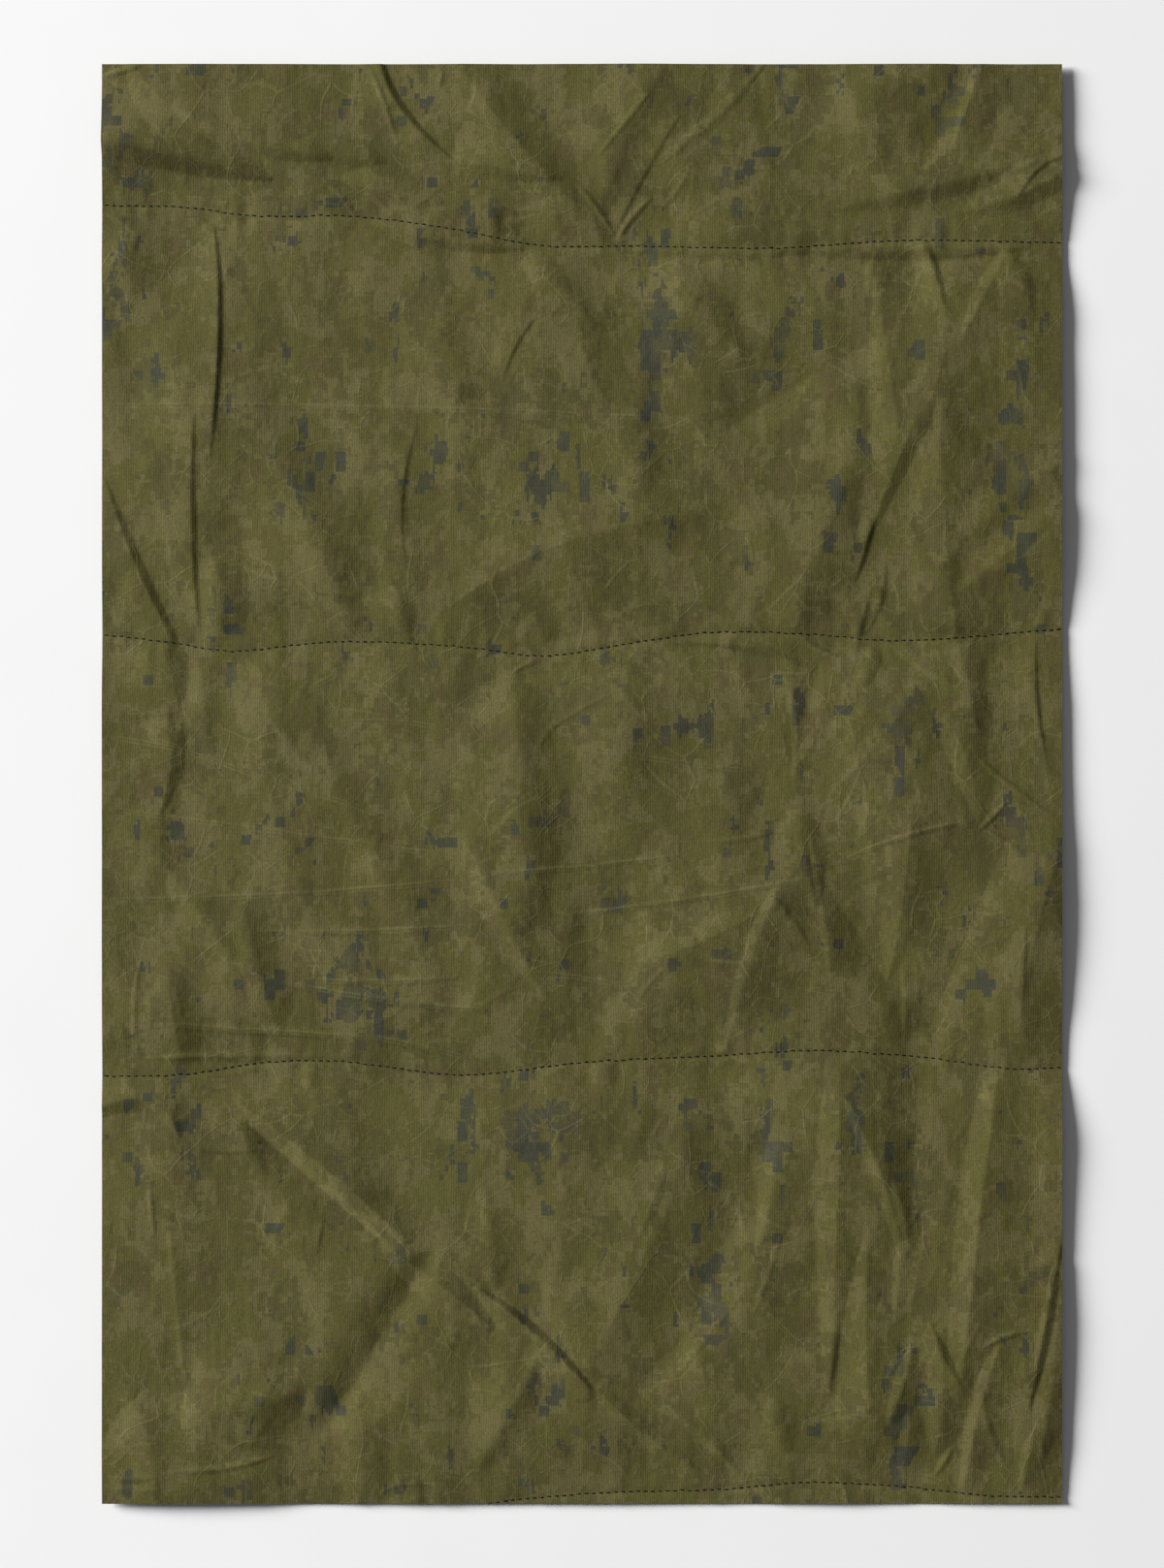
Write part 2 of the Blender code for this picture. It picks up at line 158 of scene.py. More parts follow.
# Narrow tucks, steep on one side.
TUCKS = named(Fold, (
    ((48.3, 72), (50.3, 112), (47, 169), 1.1, 14, 1.8, 0.4, 0.2),
    ((40, 150), (38.5, 200), (42, 246), 0.85, 14, 2.3, 0.1, 0.2),
    ((1, 180), (14.5, 217), (29.5, 248), 1.0, 12, 3.3, 0.2, 0.7),
    ((26, 253), (30, 265), (33, 279), 1.4, 16, 8, 0.9, 0.1),
    ((29, 279), (28, 288), (29, 296), 0.45, 8, 3.4, 0.2, 0.2),
    ((30.5, 294), (29, 308), (25, 325), 1.0, 18, 5.5, 1.0, 0.1),
    ((120.5, 0), (131, 22), (154, 43), 1.3, 15, 2.6, 0.7, 0.1),
    ((352, 154), (341.5, 180), (331.5, 206), 0.85, 12, 4.6, 1.5, 0.2),
    ((333, 201), (329.5, 213), (326, 225), 0.7, 10, 1.8, 0.6, 0.0),
    ((339, 216), (338, 229), (333, 244), 0.5, 10, 1.8, 0.2, 0.3),
    ((333, 228), (329, 243), (325, 264), 0.35, 8, 1.4, 0.2, 0.2),
    ((334, 250), (332, 260), (329, 271), 0.8, 8, 4.5, 0.4, 0.1, 1.0),
    ((415, 512), (408, 548), (401.5, 582), 1.5, 32, 3.4, 0.2, 0.2),
    ((416, 39.5), (404.5, 46), (396.5, 59), 0.7, 10, 1.6, 0.8, 0.1),
    ((357.5, 81), (361.5, 94), (365.5, 108), 0.9, 12, 2.4, 0.9, 0.0),
    ((394, 82), (399, 96), (403.5, 110), 0.6, 10, 4.5, 0.7, 0.0),
    ((359.5, 547), (364, 560), (372, 573), 1.0, 10, 3.2, 0.2, 0.2),
    ((405, 249), (404.5, 274), (410, 306), 0.6, 12, 1.6, 0.2, 0.2),
    ((291.5, 362), (299, 371.5), (308, 385), 0.4, 10, 2.2, 0.5, 0.1),
    ((188, 110), (179, 122), (173.5, 138), 0.5, 9, 1.2, 0.2, 0.1),
    ((136, 157), (129.7, 190), (132, 219), 0.4, 9, 1.1, 0.2, 0.2),
    ((96, 501), (94, 509), (93, 517), 0.35, 6, 1.1, 0.3, 0.1),
    ((300, 260), (281, 252.5), (250, 250.5), 1.6, 14, 2.6, 0.2, 0.1),
    ((319, 540), (317.5, 557), (314.5, 576), 0.3, 6, 1.4, 0.2, 0.3),
    ((163, 531), (187, 550), (211, 574), 1.7, 12, 3.2, 0.3, 0.5),
    ((168, 56), (169, 63), (171, 71), 0.35, 8, 4, 0.3, 0.3, 0.6),
    ((371, 270), (356, 261.5), (340, 250), 0.6, 8, 1.7, 0.2, 0.2),
    ((15, 74), (8, 68), (0, 63.5), 0.5, 8, 1.6, 0.2, 0.8),
))

# Flat facets between knife-sharp creases: one flank is narrow and the other runs out far.
FACETS = named(Fold, (
    ((335, 91), (340, 124), (345, 158), 1.2, 7.5, 30, 0.0, 1.6),
    ((360, 84), (365.5, 118), (353, 160), 1.8, 16, 26, 0.6, 0.4),
    ((334, 84), (333.5, 91), (332, 99), 0.5, 3, 10, 0.2, 0.1),
    ((363.5, 150), (363.5, 182), (366.5, 214), 1.9, 14, 22, 0.4, 0.4),
    ((367, 224), (371, 250), (379, 287), 1.5, 22, 12, 0.6, 0.3),
    ((392, 82), (382.5, 100), (372, 120), 0.9, 4.5, 20, 0.5, 0.1),
    ((350, 330), (347, 362), (340.5, 398), 1.6, 13, 15, 1.8, 0.0),
    ((414, 344), (404, 378), (397, 426), 1.7, 28, 18, 0.6, 0.7),
    ((320, 438), (318.5, 505), (315, 575), 1.6, 9, 20, 0.8, 0.15),
    ((332.3, 503), (331, 540), (332, 582), 1.6, 8.8, 18, 0.0, 1.6),
    ((322, 448), (337, 480), (347.5, 515), 1.0, 4.5, 14, 0.3, 0.5),
    ((346, 515), (345, 530), (343.5, 547), 0.5, 2.6, 12, 0.6, 0.0),
    ((343, 485), (347, 497), (350, 514), 0.6, 3, 9, 0.2, 0.2),
    ((388, 440), (381, 495), (372.5, 570), 1.8, 10, 20, 0.6, 0.6),
    ((351, 555), (347.5, 571), (341.5, 586), 0.9, 4.5, 9, 0.2, 0.4),
    ((364, 562), (364.5, 580), (361, 603), 1.2, 10, 13, 0.6, 0.1),
    ((389, 556), (380.5, 582), (374, 616), 1.1, 5, 13, 0.3, 0.4),
    ((416, 522), (413, 560), (407, 602), 1.2, 8, 10, 0.4, 0.2, 1.0),
    ((404, 592), (401.5, 604), (398.5, 617), 0.7, 3.5, 8, 0.3, 0.3),
    ((350, 584), (349, 598), (347, 612), 0.7, 3.5, 10, 0.3, 0.3, 0.6),
    ((291, 578), (292, 589), (296, 602), 0.7, 5, 8, 0.1, 0.3, 1.5),
    ((294, 458), (291, 487), (284, 514), 1.0, 6, 14, 0.4, 0.1, 0.6),
    ((252, 466), (240, 505), (211, 563), 1.7, 24, 20, 0.3, 0.3, 1.5),
    ((244, 476), (239, 492), (232, 508), 0.4, 5, 3, 0.3, 0.2, 0.6),
    ((291.5, 361), (281.5, 388), (271, 425), 0.75, 4.5, 20, 0.6, 0.3),
    ((236, 390), (262, 379), (291, 364.5), 1.8, 22, 16, 0.2, 0.8),
    ((307, 334), (312, 362), (316, 401), 0.5, 2.6, 14, 0.2, 0.1),
    ((347, 392), (348.5, 407), (348, 424), 0.4, 2.2, 10, 0.3, 0.2),
    ((352, 268), (341, 288), (316, 316), 0.6, 6, 13, 0.3, 0.2),
    ((361, 280), (373, 297), (380, 328), 1.1, 7, 13, 0.2, 0.2),
    ((157, 3), (180, 34), (216, 72), 2.0, 20, 16, 0.4, 0.3, 0.6),
    ((252, 196), (196, 209), (150, 236), 2.6, 34, 24, 0.3, 0.0),
    ((26.5, 320), (25, 342), (28, 368), 1.5, 18, 16, 0.3, 0.2, 0.6),
    ((416, 172), (390, 192), (364, 216), 0.9, 8, 10, 0.6, 0.2, 2.0),
    ((416, 193), (394, 211), (370, 231), 1.0, 8, 10, 0.6, 0.1, 2.0),
    ((381, 1), (375, 18), (368, 38), 0.6, 2.8, 12, 0.7, 0.1),
    ((12, 580), (20.5, 596), (23, 618), 2.5, 20, 22, 0.2, 0.9, 0.8),
    ((28.5, 496), (33, 542), (38, 589), 0.3, 1.5, 5, 0.5, 0.1),
    ((29, 393), (30.5, 411), (34, 428), 2.1, 20, 14, 0.3, 0.6),
    ((60, 450.5), (95, 477), (130, 508), 2.0, 6, 16, 0.3, 0.4),
    ((122, 512), (145, 528), (168, 547), 2.0, 9, 7.5, 0.2, 0.3),
    ((158, 333), (171, 364), (192, 404), 1.2, 7, 13, 0.2, 0.1, 1.5),
    ((215, 575), (238, 596), (259, 610), 0.7, 4, 5, 0.6, 0.1),
    ((232, 575), (254, 588), (277, 613), 0.7, 4, 5, 0.2, 0.1),
    ((249, 24), (236, 45), (222, 73), 0.4, 8, 1.8, 0.3, 0.2),
    ((287, 0), (264, 24), (239, 43), 0.3, 2.6, 2.0, 0.5, 0.1),
    ((282, 8), (262, 28), (240, 44), 0.22, 1.8, 2.6, 0.2, 0.1),
    ((0, 451.5), (22, 449.5), (33, 465), 1.8, 5, 14, 0.9, 0.1, 0.6),
    ((296, 266), (301, 285), (300, 309), 0.5, 2.6, 10, 0.2, 0.2),
    ((303, 322), (304, 342), (309, 364), 1.1, 12, 9, 0.3, 0.2, 0.8),
    ((385, 440), (384, 452), (386, 468), 0.2, 2.5, 7, 0.2, 0.2),
    ((400, 374), (399, 390), (398, 412), 0.5, 8, 1.8, 0.2, 0.3),
))

# Creased troughs.
TROUGHS = named(Fold, (
    ((391, 339), (374.5, 378), (354, 430), -1.8, 22, 28, 0.2, 0.6),
    ((308, 346), (324, 371), (340, 398), -1.1, 12, 20, 0.1, 0.6),
    ((354, 431), (352, 480), (348, 553), -1.3, 14, 28, 0.6, 0.4),
    ((64, 460), (90, 483), (122, 511), -2.4, 14, 3.5, 0.3, 0.3),
    ((340, 117), (306, 136), (274, 156), -1.7, 20, 16, 0.2, 0.2, 0.8),
    ((389, 95), (388.5, 128), (390, 160), -0.8, 14, 14, 0.3, 0.2),
    ((372, 2), (366, 20), (356, 43), -1.2, 16, 8, 0.6, 0.2, 2.0),
    ((310.5, 261), (305, 283), (300, 303), -0.8, 8, 6, 0.2, 0.2, 0.6),
    ((142, 517), (123, 549), (98, 590), -2.6, 12.5, 16, 0.2, 0.4, 2.0),
    ((151, 546), (130, 566), (110, 590), -0.8, 12, 8, 0.2, 0.2, 3.0),
    ((286, 468), (264, 528), (232, 577), -1.8, 24, 12, 0.4, 0.3, SOFT),
    ((209, 368), (211.5, 398), (212, 426), -1.5, 11, 18, 0.3, 0.3, 2.5),
    ((12, 120), (13, 150), (14, 178), -1.1, 12, 12, 0.3, 0.3, 3.0),
))

# Broad soft swells, and the bands above and below the first row.
SWELLS = named(Fold, (
    ((0, 33), (37, 40.5), (72, 50), 4.8, 6.5, 18, 1.0, 0.1, 0.6),
    ((120, 69), (150, 74), (180, 79), 3.6, 5.5, 22, 0.2, 0.3, 0.8),
    ((236, 80), (268, 80.5), (300, 80.5), 1.7, 3.6, 20, 0.4, 0.6, 0.4),
    ((296, 79.5), (350, 79), (398, 79), 2.8, 5.5, 22, 0.3, 0.3, 0.6),
    ((14, 1), (26, 15), (41, 29), 1.8, 11, 26, 0.3, 0.5, 0.6),
    ((34, 20), (62, 32), (98, 41), 3.0, 6, 16, 0.3, 0.1, 0.8),
    ((84, 36), (102, 39.5), (122, 42.5), 1.3, 4, 10, 0.2, 0.1, 1.0),
    ((106, 50), (124, 55), (146, 60), 1.6, 5, 10, 0.2, 0.2, 1.0),
    ((152, 42.5), (172, 44.5), (196, 49.5), 1.9, 5, 22, 0.2, 0.2, 0.8),
    ((318, 62), (358, 52.5), (402, 42), 1.7, 6, 22, 0.2, 0.3, 1.5),
    ((376, 63), (395, 57), (416, 47), 1.4, 6, 10, 0.2, 0.9, 1.0),
    ((178, 266), (180, 308), (183, 364), 3.0, 26, 12, 0.1, 0.4, SOFT),
    ((226, 262), (228, 300), (226, 343), 1.3, 15, 15, 0.3, 0.1, SOFT),
    ((236, 372), (238, 398), (238, 426), 1.2, 16, 16, 0.2, 0.3, SOFT),
    ((186, 564), (176, 584), (164, 606), 2.1, 14, 8, 0.2, 0.2, 2.5),
    ((111, 576), (112, 600), (111, 624), 1.7, 14, 8, 0.1, 0.6, 3.0),
    ((248, 83), (258, 105), (280, 128), 2.5, 14, 11, 0.4, 0.1, 3.0),
    ((58, 138), (82, 182), (106, 240), 1.8, 16, 13, 0.1, 0.4, SOFT),
    ((64, 256), (79, 292), (99, 337), 1.4, 14, 13, 0.4, 0.1, SOFT),
    ((328, 148), (318, 190), (300, 242), 1.8, 20, 13, 0.1, 0.4, 3.0),
    ((34, 584), (56, 582), (88, 574), 3.2, 14, 18, 0.1, 0.1, 3.0),
    ((203, 100), (214, 142), (238, 190), 1.1, 18, 16, 0.3, 0.1, SOFT),
    ((120, 262), (128, 300), (146, 330), 1.1, 14, 12, 0.4, 0.1, SOFT),
    ((61, 366), (67, 392), (75, 418), 1.6, 16, 9, 0.3, 0.3, 2.5),
    ((196, 440), (202, 480), (196, 530), 1.1, 15, 15, 0.4, 0.1, SOFT),
    ((126, 226), (129, 236), (131, 247), 1.1, 24, 5.5, 0.2, 0.4, 1.5),
    ((240, 4), (228, 28), (216, 60), 1.5, 16, 10, 0.5, 0.2, 3.0),
    ((186, 82), (197, 96), (212, 112), 1.5, 16, 7, 0.2, 0.2, 2.5),
    ((10, 68), (11, 84), (13, 100), 1.3, 14, 12, 0.2, 0.2, 3.0),
    ((147, 106), (150, 130), (156, 150), 1.1, 14, 12, 0.2, 0.2, SOFT),
    ((50, 216), (51, 232), (52, 246), 1.1, 8, 9, 0.2, 0.3, 2.0),
    ((186, 238), (190, 245), (192, 254), 0.8, 14, 8, 0.3, 0.4, 1.0),
    ((42, 258), (44, 275), (46, 292), 1.1, 8, 10, 0.2, 0.2, 2.0),
    ((322, 6), (330, 26), (336, 48), 1.6, 16, 15, 0.2, 0.2, SOFT),
    ((30, 351), (42, 367), (55, 385), 1.5, 8, 10, 0.2, 0.3, 1.5),
    ((98, 300), (104, 320), (116, 344), 1.5, 12, 12, 0.2, 0.2, 3.0),
    ((119, 338), (124, 355), (134, 373), 1.3, 10, 13, 0.2, 0.2, 3.0),
    ((166, 490), (168, 508), (170, 528), 1.3, 10, 9, 0.2, 0.2, 2.0),
    ((258, 552), (262, 575), (268, 602), 1.5, 12, 14, 0.2, 0.3, 3.0),
    ((51, 74), (53, 98), (51, 126), 0.7, 12, 8, 0.3, 0.2, 1.5),
))

# Fine creases, too small for the frame's solid. They stand up a little.
Crease = namedtuple("Crease", "start middle end height width")

CREASES = named(Crease, (
    ((0, 148), (103, 148.5), (251, 154), 0.28, 1.2),
    ((0, 291.6), (36, 298), (72, 311), 0.30, 1.3),
    ((104, 285), (126, 285), (151, 288), 0.22, 1.2),
    ((87, 315), (108, 321), (129, 329), 0.25, 1.3),
    ((0, 322.6), (70, 332), (158, 344), 0.32, 1.4),
    ((0, 362), (78, 360), (151, 354), 0.28, 1.3),
    ((65, 376), (110, 376), (166, 373), 0.28, 1.3),
    ((87, 397), (120, 397.5), (154, 396), 0.50, 2.0),
    ((79, 398), (118, 405), (166, 410), 0.75, 2.6),
    ((26, 416), (67, 419), (113, 421.5), 0.60, 2.2),
    ((113, 421.5), (140, 426), (166, 433.5), 0.75, 2.4),
    ((164, 351), (207, 348), (250, 343), 0.28, 1.3),
    ((259, 337), (276, 336), (292, 332.5), 0.28, 1.3),
    ((199, 369), (254, 362), (311, 352), 0.32, 1.4),
    ((320, 345.5), (350, 334), (378, 328), 0.32, 1.4),
    ((202, 295), (246, 302), (292, 308), 0.28, 1.3),
    ((178, 393), (206, 396), (235, 401), 0.28, 1.3),
    ((0, 281.5), (18, 282), (36, 280), 0.25, 1.2),
    ((20, 431), (60, 430), (95, 430.5), 0.75, 2.2),
    ((194.6, 288), (207, 280), (220.5, 273), 0.22, 1.2),
    ((232, 407), (237, 399), (244, 392), 0.20, 1.3),
    ((301.6, 247), (310, 253), (318.5, 257), 0.45, 1.6),
    ((178, 264), (186, 259), (195, 257), 0.45, 1.6),
    ((379, 300), (394, 313), (409, 324), 0.40, 1.6),
    ((25, 464), (45, 470), (65.5, 471), 0.60, 1.8),
    ((30, 610), (55, 608), (74, 603), 0.50, 1.8),
    ((59, 597), (70, 598), (81, 600), 0.30, 1.4),
    ((0, 613), (12, 613), (24, 612.5), 0.45, 1.6),
    ((0, 617.5), (12, 618), (25, 618), 0.35, 1.4),
    ((87, 609), (98, 609), (109, 609), 0.35, 1.4),
    ((120, 620), (129, 616), (140, 616), 0.30, 1.3),
    ((280, 530), (262, 552), (246, 572), 0.18, 1.6),
    ((295, 506), (289, 524), (283, 541), 0.20, 1.5),
    ((382, 556), (391, 551.5), (400.5, 549), 0.50, 1.8),
    ((369, 599), (365, 606), (361, 612), 0.45, 1.8),
    ((16.5, 389), (14, 412), (16, 431), 0.35, 1.6),
    ((0.3, 5.2), (9, 3), (17, 0.5), 0.60, 1.8),
    ((147, 3), (147, 6), (146, 9.6), 0.35, 1.4),
    ((115.5, 1), (122, 16), (128, 35), 0.40, 1.6),
    ((100, 53), (105, 59), (110, 65), 0.30, 1.6),
    ((112, 53), (121, 60), (128, 68), 0.30, 1.6),
    ((236.6, 13), (227, 25), (214.6, 40), 0.35, 1.6),
    ((392, 320), (386, 326), (380, 332), 0.50, 1.7),
    ((382, 331), (390, 336), (398, 341), 0.45, 1.6),
    ((254, 46), (249, 55), (242, 63), 0.25, 1.6),
    ((206, 52), (214, 62), (222, 74), 0.40, 1.6),
    ((238, 58), (230, 66), (224, 75), 0.50, 1.8),
    ((21, 485), (21.5, 497), (23, 510), 0.40, 1.4),
    ((382, 575), (384, 592), (392, 608), 0.25, 2.0),
))
PRESSED = CREASES[:17]  # the ones that also wore the dye

# Small creases strewn over the sheet: how many, their greatest length, height and width, and by how many degrees at
# most they lean away from the cloth's length.
Strewn = namedtuple("Strewn", "count length height width lean")

LOOSE_RIDGES = Strewn(40, 70.0, 0.32, 9.0, 30.0)
LOOSE_DENTS = Strewn(40, 60.0, 0.32, 9.0, 40.0)
CRACKLE = Strewn(220, 32.0, 0.14, 1.6, 90.0)

# The whole sheet's soft waves: their height, and their length across and down the cloth.
WAVES = ((0.50, 70.0, 120.0), (0.16, 30.0, 60.0), (0.035, 13.0, 26.0))


def run_out(height, foot):
    """The part of a height above zero, with a rounded foot."""
    rounded = (height + foot) ** 2 / (4.0 * foot)
    return np.where(height > foot, height, np.where(height < -foot, 0.0, rounded))


def rise(distance, first, last):
    """A smooth step from 0 at the first distance to 1 at the last one."""
    share = np.clip((distance - first) / (last - first), 0.0, 1.0)
    return share * share * (3.0 - 2.0 * share)


def through(start, middle, end, t):
    """The curve of second degree that passes start at t = 0, middle at t = 0.5 and end at t = 1."""
    return start * (2 * t - 1) * (t - 1) + middle * 4 * t * (1 - t) + end * t * (2 * t - 1)


def row_down(points, across):
    """How far down a stitched row lies at each place across: a cubic curve through the row's points."""
    places, downs = np.array(points, float).T
    slopes = np.gradient(downs, places)
    i = np.clip(np.searchsorted(places, across) - 1, 0, len(places) - 2)
    span = places[i + 1] - places[i]
    t = (across - places[i]) / span
    ends = downs[i] * (1 + 2 * t) * (1 - t) ** 2 + downs[i + 1] * t * t * (3 - 2 * t)
    bends = slopes[i] * t * (1 - t) ** 2 - slopes[i + 1] * t * t * (1 - t)
    return ends + bends * span


def fold_height(fold, across, down):
    """Height of one fold, without its sign, at each place: straight flanks that fall away from a rounded crest."""
    steps = np.linspace(0.0, 1.0, CURVE_STEPS + 1)[:, None]
    line = through(np.array(fold.start), np.array(fold.middle), np.array(fold.end), steps)
    nearest = np.full(across.shape, np.inf)
    side = np.zeros(across.shape)  # 1 beside the line on its right, -1 on its left and in between past its ends
    place = np.zeros(across.shape)
    for i, (a, b) in enumerate(zip(line[:-1], line[1:])):
        run = b - a
        t = np.clip(((across - a[0]) * run[0] + (down - a[1]) * run[1]) / (run @ run), 0.0, 1.0)
        off_x = across - a[0] - t * run[0]
        off_y = down - a[1] - t * run[1]
        distance = np.hypot(off_x, off_y)
        closer = distance < nearest
        nearest = np.where(closer, distance, nearest)
        aside = (off_x * run[1] - off_y * run[0]) / np.maximum(distance * np.hypot(*run), 1e-9)
        side = np.where(closer, aside, side)
        place = np.where(closer, (i + t) / CURVE_STEPS, place)
    top = abs(fold.height) * np.maximum(through(fold.start_size, 1.0, fold.end_size, place), 0.0)
    flank = fold.left + (fold.right - fold.left) * (0.5 + 0.5 * side)
    slope = abs(fold.height) / flank
    fall = np.hypot(nearest, fold.crest) - fold.crest
    softness = np.maximum(rise(flank, *FOOT_FLANKS), min(fold.crest / SOFT_FOOT_CREST, 1.0) ** 2)
    foot = np.maximum(top * FOOT_SHARE * softness, LEAST_FOOT)
    return run_out(top - slope * fall, foot)


def sampled(grid, across, down):
    """A grid's values at places between its points, from the four points around each place."""
    column = np.clip(across / WIDTH * (grid.shape[1] - 1), 0.0, grid.shape[1] - 1.001)
    row = np.clip(down / LENGTH * (grid.shape[0] - 1), 0.0, grid.shape[0] - 1.001)
    c, r = column.astype(int), row.astype(int)
    u, v = column - c, row - r
    upper = grid[r, c] * (1 - u) + grid[r, c + 1] * u
    lower = grid[r + 1, c] * (1 - u) + grid[r + 1, c + 1] * u
    return upper * (1 - v) + lower * v


class Field:
    """The grid of places over the whole sheet, where heights are worked out."""

    def __init__(self):
        columns, rows = round(WIDTH / POINT_PITCH) + 1, round(LENGTH / POINT_PITCH) + 1
        self.across, self.down = np.meshgrid(np.linspace(0.0, WIDTH, columns), np.linspace(0.0, LENGTH, rows))

    def window(self, fold):
        """The part of the grid that a fold can reach."""
        ends = np.array([fold.start, fold.middle, fold.end], float)
        reach = 2.0 * max(fold.left, fold.right) * max(1.0, fold.start_size, fold.end_size) + 2.0 * fold.crest
        low = ends.min(axis=0) - reach
        high = ends.max(axis=0) + reach
        columns = np.searchsorted(self.across[0], (low[0], high[0]))
        rows = np.searchsorted(self.down[:, 0], (low[1], high[1]))
        return slice(*rows), slice(*columns)

    def summed(self, folds):
        """The heights of all the folds together, without their signs."""
        total = np.zeros(self.across.shape)
        for fold in folds:
            here = self.window(fold)
            total[here] += fold_height(fold, self.across[here], self.down[here])
        return total


def undulation(rng, across, down, wave_across, wave_down, waves=18):
    """A soft uneven surface with heights of about 1, with waves of about the given lengths."""
    total = np.zeros(across.shape)
    for _ in range(waves):
        turn = rng.uniform(0.0, 2.0 * math.pi)
        stretch = rng.uniform(0.7, 1.5)
        shift = rng.uniform(0.0, 2.0 * math.pi)
        along = across * math.cos(turn) / wave_across + down * math.sin(turn) / wave_down
        total += np.cos(2.0 * math.pi * along / stretch + shift)
    return total / math.sqrt(waves / 2.0)


def scattered(rng, strewn):
    """Folds for small creases strewn over the sheet."""
    folds = []
    for _ in range(strewn.count):
        middle = rng.uniform((0.0, 0.0), (WIDTH, LENGTH))
        turn = math.radians(rng.uniform(-strewn.lean, strewn.lean))
        half = rng.uniform(0.4, 1.0) * strewn.length / 2.0
        along = np.array((math.sin(turn), math.cos(turn))) * half
        bow = np.array((math.cos(turn), -math.sin(turn))) * half * rng.uniform(-0.25, 0.25)
        left, right = strewn.width * rng.uniform(0.5, 1.5, 2)
        top = strewn.height * rng.uniform(0.4, 1.0)
        folds.append(Fold(middle - along, middle + bow, middle + along, top, left, right, 0.0, 0.0))
    return folds


def cloth_heights(field):
    """Height of the cloth's underside above the surface, in millimetres, over the whole grid."""
    across, down = field.across, field.down
    rng = np.random.default_rng(7)
    off_row = np.array([down - row_down(points, across) for points in STITCHED_ROWS.values()])
    to_row = np.abs(off_row).min(axis=0)
    puff = PUFF * rise(to_row, ROW_FLAT, PUFF_REACH)
    ridges = field.summed(TUCKS + FACETS + SWELLS)
    troughs = field.summed(TROUGHS)
    lines = field.summed([Fold(c.start, c.middle, c.end, c.height, c.width, c.width, CREASE_ENDS, CREASE_ENDS)
                          for c in CREASES])
    facets = field.summed(scattered(rng, LOOSE_RIDGES))
    dents = field.summed(scattered(rng, LOOSE_DENTS))
    crackle = field.summed(scattered(rng, CRACKLE))
    waves = sum(height * undulation(rng, across, down, *lengths) for height, *lengths in WAVES)
    pleats = undulation(rng, across, down / PUCKER_STRETCH, PUCKER_WAVE, PUCKER_STRETCH * PUCKER_WAVE)
    pleats *= undulation(rng, across, down, PUCKER_PATCH, PUCKER_PATCH)
    pleats *= PUCKER_HEIGHT * np.exp(-to_row / PUCKER_REACH) * rise(to_row, 0.0, PUCKER_START)
    held = ROW_SHARE + (1.0 - ROW_SHARE) * rise(to_row, ROW_FLAT, ROW_HOLD)
    groove = ROW_GROOVE * np.exp(-(to_row / ROW_GROOVE_WIDTH) ** 2)
    relief = ridges - troughs + facets - dents + waves
    height = puff + relief * held + (lines + crackle) * held + pleats - groove
    return run_out(height + LIFT, TOUCH_FOOT)


# ----------------------------------------
# The sheet
# ----------------------------------------


def new_object(name, mesh):
    """An object of the scene with that mesh."""
    obj = bpy.data.objects.new(name, mesh)
    bpy.context.scene.collection.objects.link(obj)
    return obj


def folded_surface(heights):
    """One open surface: a grid of points over the whole sheet, lifted into the folds."""
    rows, columns = heights.shape
    bm = bmesh.new()
    bmesh.ops.create_grid(bm, x_segments=columns - 1, y_segments=rows - 1, size=0.5)
    mesh = bpy.data.meshes.new("folded_surface")
    bm.to_mesh(mesh)
    bm.free()
    places = np.zeros(len(mesh.vertices) * 3, np.float32)
    mesh.vertices.foreach_get("co", places)
    places = places.reshape(-1, 3)
    across = (places[:, 0] + 0.5) * WIDTH
    down = (0.5 - places[:, 1]) * LENGTH
    lifted = np.column_stack([across - WIDTH / 2, LENGTH / 2 - down, sampled(heights, across, down)])
    mesh.vertices.foreach_set("co", (lifted * MM).astype(np.float32).ravel())
    return mesh


def thinned(mesh):
    """The surface with fewer, larger triangles where it is smooth."""
    helper = new_object("helper", mesh)
    decimate = helper.modifiers.new("thin_out", "DECIMATE")
    decimate.ratio = min(1.0, SIDE_TRIANGLES / (2 * len(mesh.polygons)))
    decimate.use_collapse_triangulate = True
    graph = bpy.context.evaluated_depsgraph_get()
    result = bpy.data.meshes.new_from_object(helper.evaluated_get(graph))
    bpy.data.objects.remove(helper, do_unlink=True)
    bpy.data.meshes.remove(mesh)
    return result


def straighten_rim(bm):
    """Put the rim's points back on the sheet's straight cut edges."""
    for vert in bm.verts:
        if vert.is_boundary:
            for axis, half in ((0, WIDTH * MM / 2), (1, LENGTH * MM / 2)):
                if half - abs(vert.co[axis]) < RIM_REACH * MM:
                    vert.co[axis] = math.copysign(half, vert.co[axis])


